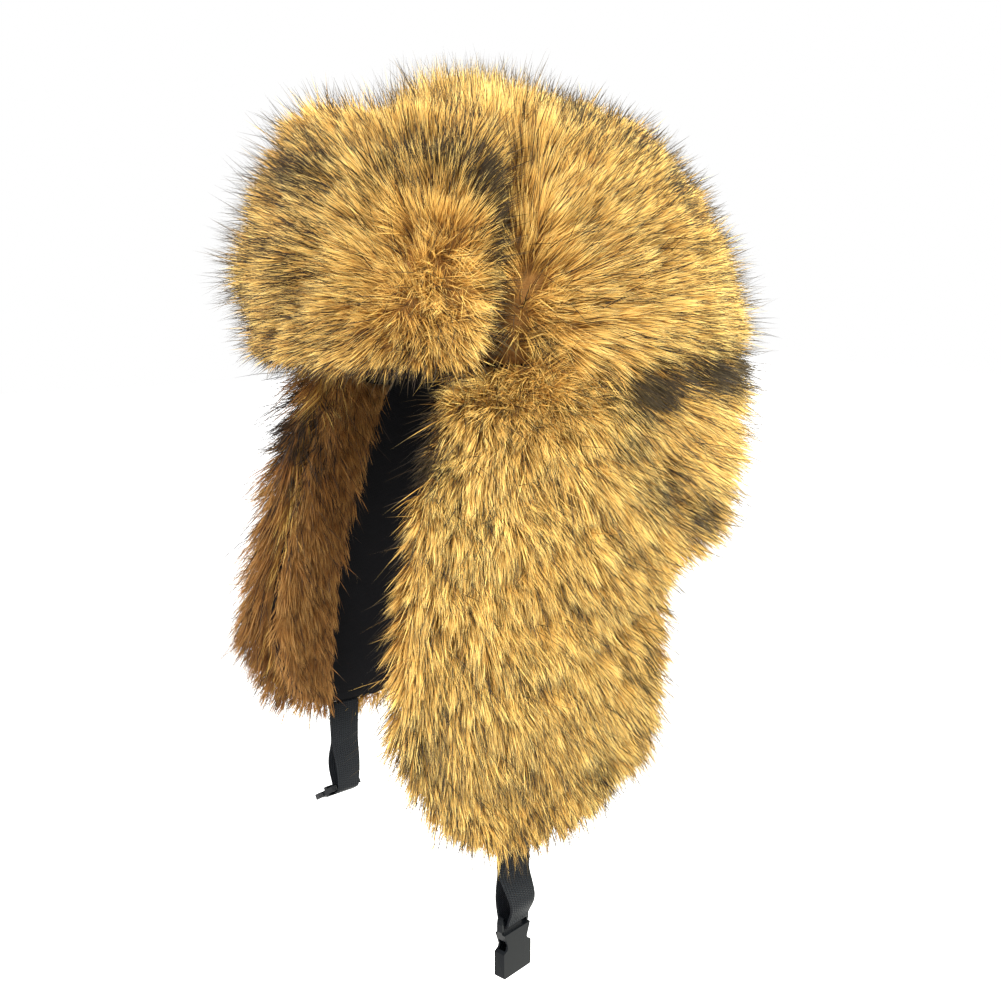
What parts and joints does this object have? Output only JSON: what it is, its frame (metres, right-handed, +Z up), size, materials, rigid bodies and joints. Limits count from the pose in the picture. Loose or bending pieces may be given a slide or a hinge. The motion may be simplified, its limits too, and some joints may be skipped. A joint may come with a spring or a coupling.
{
  "type": "fur trapper hat",
  "caption": "Fur trapper hat with a turned-up front flap, hanging ear flaps, a neck flap and a side-release buckle on webbing straps.",
  "frame": {"origin": "middle of the head opening, in the plane of the brow where crown and flaps meet", "axes": "+Z up through the crown, -Y to the front, +X to the wearer's left"},
  "size_m": [0.2593, 0.2954, 0.4541],
  "materials": {
    "long_fur": "long soft fur, golden brown with dark tips",
    "lining": "matt black woven lining",
    "webbing": "ribbed black webbing with a slight sheen",
    "buckle": "moulded black plastic, satin gloss"
  },
  "bodies": {
    "root": {"crown_shell": "lining", "crown_fur": "long_fur", "front_flap_shell": "lining", "front_flap_fur": "long_fur", "ear_flap_left_shell": "lining", "ear_flap_left_fur": "long_fur", "ear_flap_left_trim": "long_fur", "ear_flap_right_shell": "lining", "ear_flap_right_fur": "long_fur", "ear_flap_right_trim": "long_fur", "neck_flap_shell": "lining", "neck_flap_fur": "long_fur", "strap_left": "webbing", "strap_right": "webbing", "buckle_socket": "buckle", "buckle_prongs": "buckle"}
  },
  "joints": []
}
